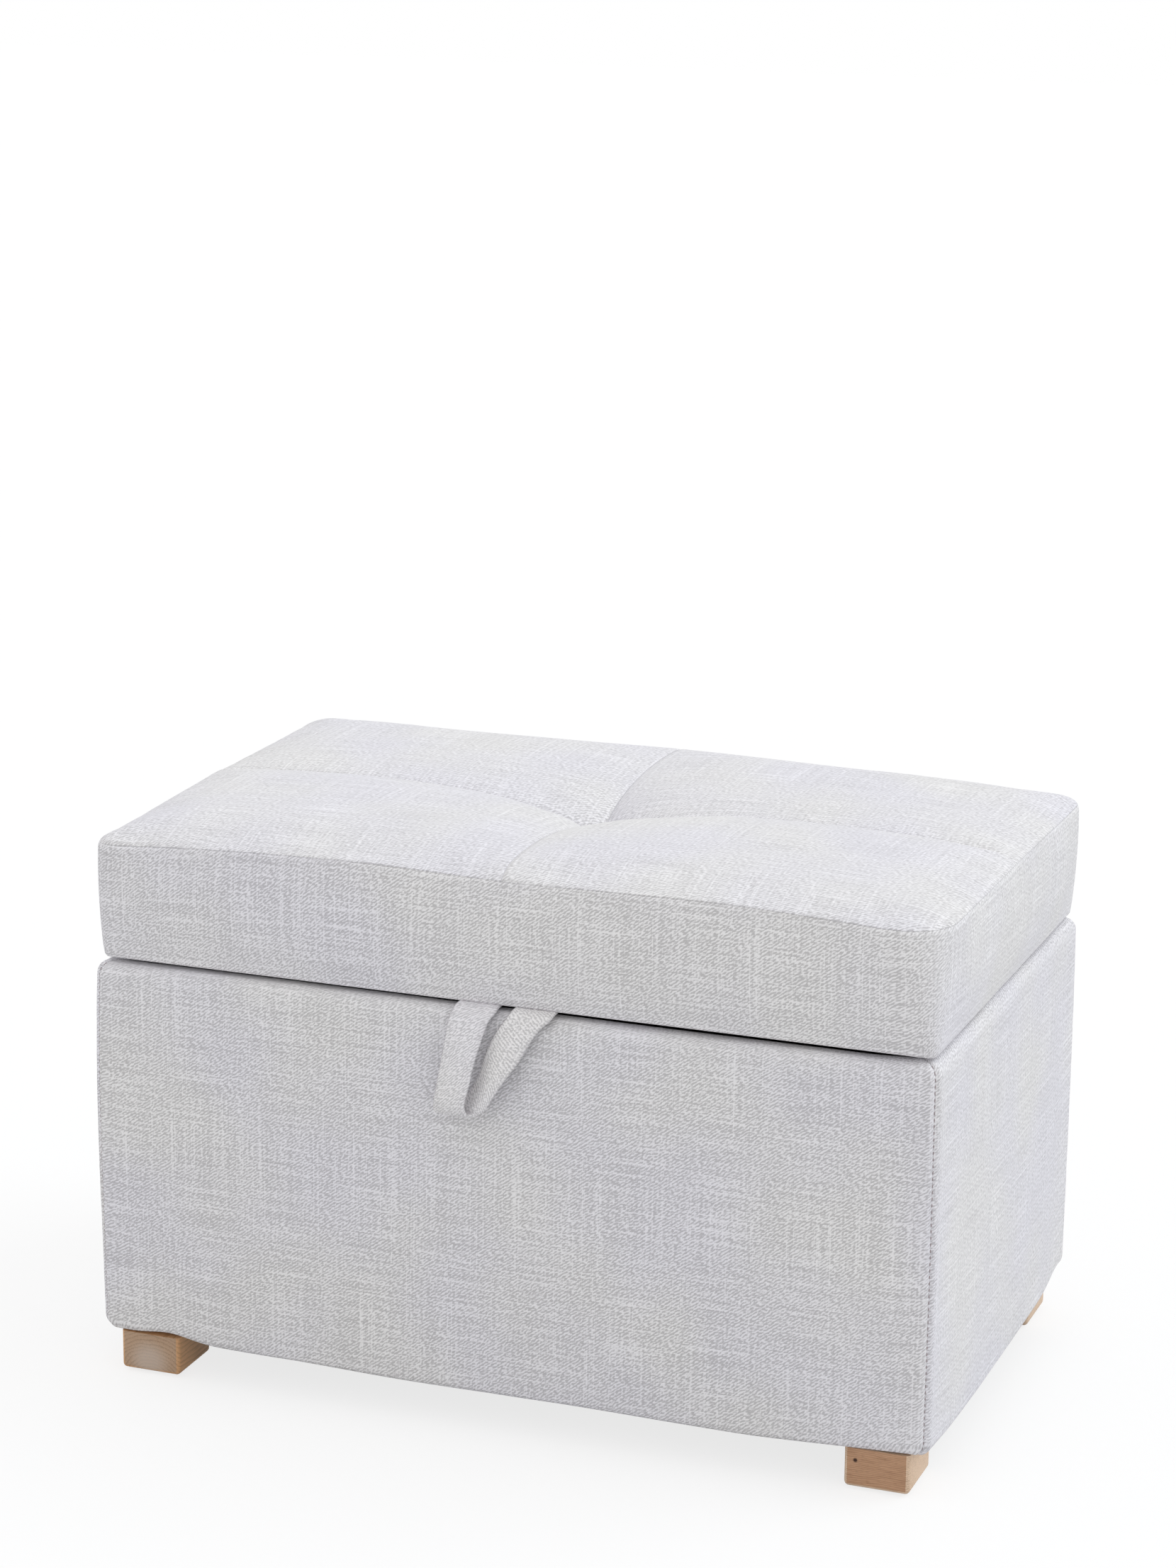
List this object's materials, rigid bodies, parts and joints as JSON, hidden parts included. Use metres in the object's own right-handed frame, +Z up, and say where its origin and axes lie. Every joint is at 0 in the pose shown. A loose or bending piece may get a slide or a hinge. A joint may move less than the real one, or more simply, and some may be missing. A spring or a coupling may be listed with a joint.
{
  "type": "storage bench",
  "caption": "Upholstered storage bench: padded linen box on wooden block feet, hinged tufted lid cushion and a cloth pull loop at the front.",
  "frame": {"origin": "on the floor under the middle of the bench", "axes": "+Z up, +X to the bench's right as seen from the front, front at -Y"},
  "size_m": [0.6, 0.3892, 0.4028],
  "materials": {
    "linen": "matte",
    "board": "matte",
    "softwood": "matte",
    "foot_wood": "satin",
    "wadding": "matte",
    "foam": "matte",
    "lining": "matte",
    "black_cloth": "matte",
    "zinc_steel": "satin",
    "nickel_steel": "satin",
    "nylon": "matte",
    "twine": "matte"
  },
  "bodies": {
    "box": {"bottom_panel": "board", "front_panel": "board", "back_panel": "board", "left_panel": "board", "right_panel": "board", "corner_posts": "softwood", "base_wadding": "wadding", "base_cover_front": "linen", "base_cover_right": "linen", "base_cover_back": "linen", "base_cover_left": "linen", "storage_lining": "lining", "dust_cover": "black_cloth", "foot_front_left": "foot_wood", "foot_front_right": "foot_wood", "foot_back_left": "foot_wood", "foot_back_right": "foot_wood", "foot_bolts": "zinc_steel", "tee_nuts": "zinc_steel", "foot_glides": "nylon", "hinge_box_leaf_left": "nickel_steel", "hinge_box_leaf_right": "nickel_steel", "hinge_pin_left": "nickel_steel", "hinge_pin_right": "nickel_steel", "hinge_box_screws": "nickel_steel"},
    "lid": {"lid_board": "board", "lid_foam": "foam", "lid_top_panels": "linen", "lid_border": "linen", "lid_lining": "lining", "tuft_twine": "twine", "tuft_washer": "zinc_steel", "hinge_lid_leaf_left": "nickel_steel", "hinge_lid_leaf_right": "nickel_steel", "hinge_lid_screws": "nickel_steel", "pull_loop_tails": "linen"},
    "pull_loop": {"pull_loop": "linen"}
  },
  "joints": [
    {"name": "lid_hinge", "type": "hinge", "parent": "box", "child": "lid", "pos_m": [0, 0.1858, 0.3023], "axis": [-1, 0, 0], "range_deg": [0, 100]},
    {"name": "pull_loop_swing", "type": "hinge", "parent": "lid", "child": "pull_loop", "pos_m": [0, -0.1864, 0.303], "axis": [-1, 0, 0], "range_deg": [0, 135]}
  ]
}
